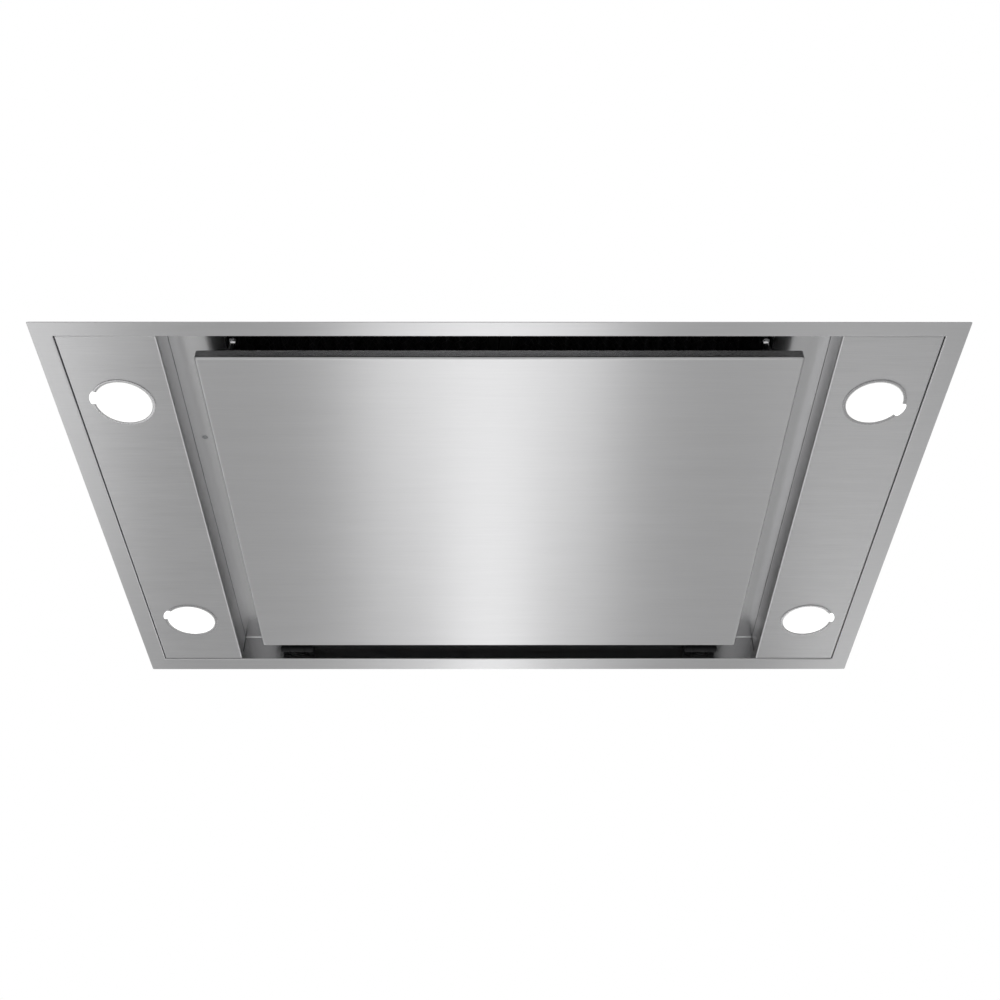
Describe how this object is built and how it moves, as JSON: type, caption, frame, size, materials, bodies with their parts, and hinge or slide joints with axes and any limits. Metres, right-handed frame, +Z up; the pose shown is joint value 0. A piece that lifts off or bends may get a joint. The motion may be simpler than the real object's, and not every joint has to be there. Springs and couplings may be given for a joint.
{
  "type": "ceiling range hood",
  "caption": "Flush ceiling range hood: brushed steel frame, hinged centre panel with perimeter suction, lamps in side panels, grease filters, fan box with round rear outlet.",
  "frame": {"origin": "centre of the outer frame's visible underside", "axes": "+X across the hood's width, towards its right side as the picture shows it; +Y from the front edge, with the catches, to the rear edge, with the hinges; +Z up, into the ceiling"},
  "size_m": [0.9, 0.6, 0.3],
  "materials": {
    "stainless": "fine brushed stainless steel, satin, grain along the width",
    "polished_steel": "polished",
    "galvanised": "dull galvanised sheet with a faint spangle",
    "aluminium": "satin",
    "black_aluminium": "black anodised, dull",
    "dark_steel": "black coated steel, low sheen",
    "black_plastic": "moulded, fine texture",
    "grey_plastic": "moulded, fine texture",
    "board_green": "coated circuit board",
    "lamp_white": "frosted diffuser, lit"
  },
  "bodies": {
    "hood_body": {"rim_frame": "stainless", "inlet_tray": "stainless", "lamp_panel_left": "stainless", "lamp_panel_right": "stainless", "lamp_bezel_front_left": "polished_steel", "lamp_bezel_front_right": "polished_steel", "lamp_bezel_rear_left": "polished_steel", "lamp_bezel_rear_right": "polished_steel", "lamp_lens_front_left": "lamp_white", "lamp_lens_front_right": "lamp_white", "lamp_lens_rear_left": "lamp_white", "lamp_lens_rear_right": "lamp_white", "lamp_housing_front_left": "aluminium", "lamp_housing_front_right": "aluminium", "lamp_housing_rear_left": "aluminium", "lamp_housing_rear_right": "aluminium", "remote_receiver": "black_plastic", "casing_walls": "galvanised", "casing_top": "galvanised", "hanger_front_left": "galvanised", "hanger_front_right": "galvanised", "hanger_rear_left": "galvanised", "hanger_rear_right": "galvanised", "filter_frame_left": "black_aluminium", "filter_frame_right": "black_aluminium", "filter_mesh_left": "black_aluminium", "filter_mesh_right": "black_aluminium", "panel_catch_left": "dark_steel", "panel_catch_right": "dark_steel", "hinge_leaf_left": "dark_steel", "hinge_leaf_right": "dark_steel", "hinge_pin_left": "polished_steel", "hinge_pin_right": "polished_steel", "scroll_body": "black_plastic", "scroll_cover": "black_plastic", "bell_mouth": "black_plastic", "motor": "galvanised", "fan_box_walls": "galvanised", "fan_box_cover": "galvanised", "outlet_spigot": "galvanised", "damper_pin": "polished_steel", "control_box": "grey_plastic", "control_lid": "grey_plastic", "control_board": "board_green", "terminal_block": "grey_plastic", "cable_gland": "black_plastic", "lamp_driver": "grey_plastic"},
    "panel": {"centre_panel": "stainless", "panel_back": "dark_steel", "catch_stud_left": "polished_steel", "catch_stud_right": "polished_steel", "hinge_arm_left": "dark_steel", "hinge_arm_right": "dark_steel"},
    "fan_wheel": {"impeller": "black_plastic", "motor_shaft": "polished_steel"},
    "flap_left": {"damper_flap_left": "black_plastic"},
    "flap_right": {"damper_flap_right": "black_plastic"},
    "latch_left": {"filter_latch_left": "black_plastic"},
    "latch_right": {"filter_latch_right": "black_plastic"}
  },
  "joints": [
    {"name": "panel_hinge", "type": "hinge", "parent": "hood_body", "child": "panel", "pos_m": [0, 0.266, 0.0095], "axis": [1, 0, 0], "range_deg": [0, 90]},
    {"name": "fan_spin", "type": "hinge", "parent": "hood_body", "child": "fan_wheel", "pos_m": [-0.1033, -0.035, 0.18], "axis": [0, 0, 1], "continuous": true},
    {"name": "flap_left_swing", "type": "hinge", "parent": "hood_body", "child": "flap_left", "pos_m": [0, 0.2248, 0.1962], "axis": [0, 0, -1], "range_deg": [0, 80], "stiffness_Nm_per_rad": 0.01, "springref_deg": -17.19},
    {"name": "flap_right_swing", "type": "hinge", "parent": "hood_body", "child": "flap_right", "pos_m": [0, 0.2248, 0.1962], "axis": [0, 0, 1], "range_deg": [0, 80], "stiffness_Nm_per_rad": 0.01, "springref_deg": -17.19},
    {"name": "latch_left_slide", "type": "slide", "parent": "hood_body", "child": "latch_left", "axis": [0, 1, 0], "range_m": [0, 0.006], "stiffness_N_per_m": 300, "springref_m": -0.004},
    {"name": "latch_right_slide", "type": "slide", "parent": "hood_body", "child": "latch_right", "axis": [0, 1, 0], "range_m": [0, 0.006], "stiffness_N_per_m": 300, "springref_m": -0.004}
  ]
}
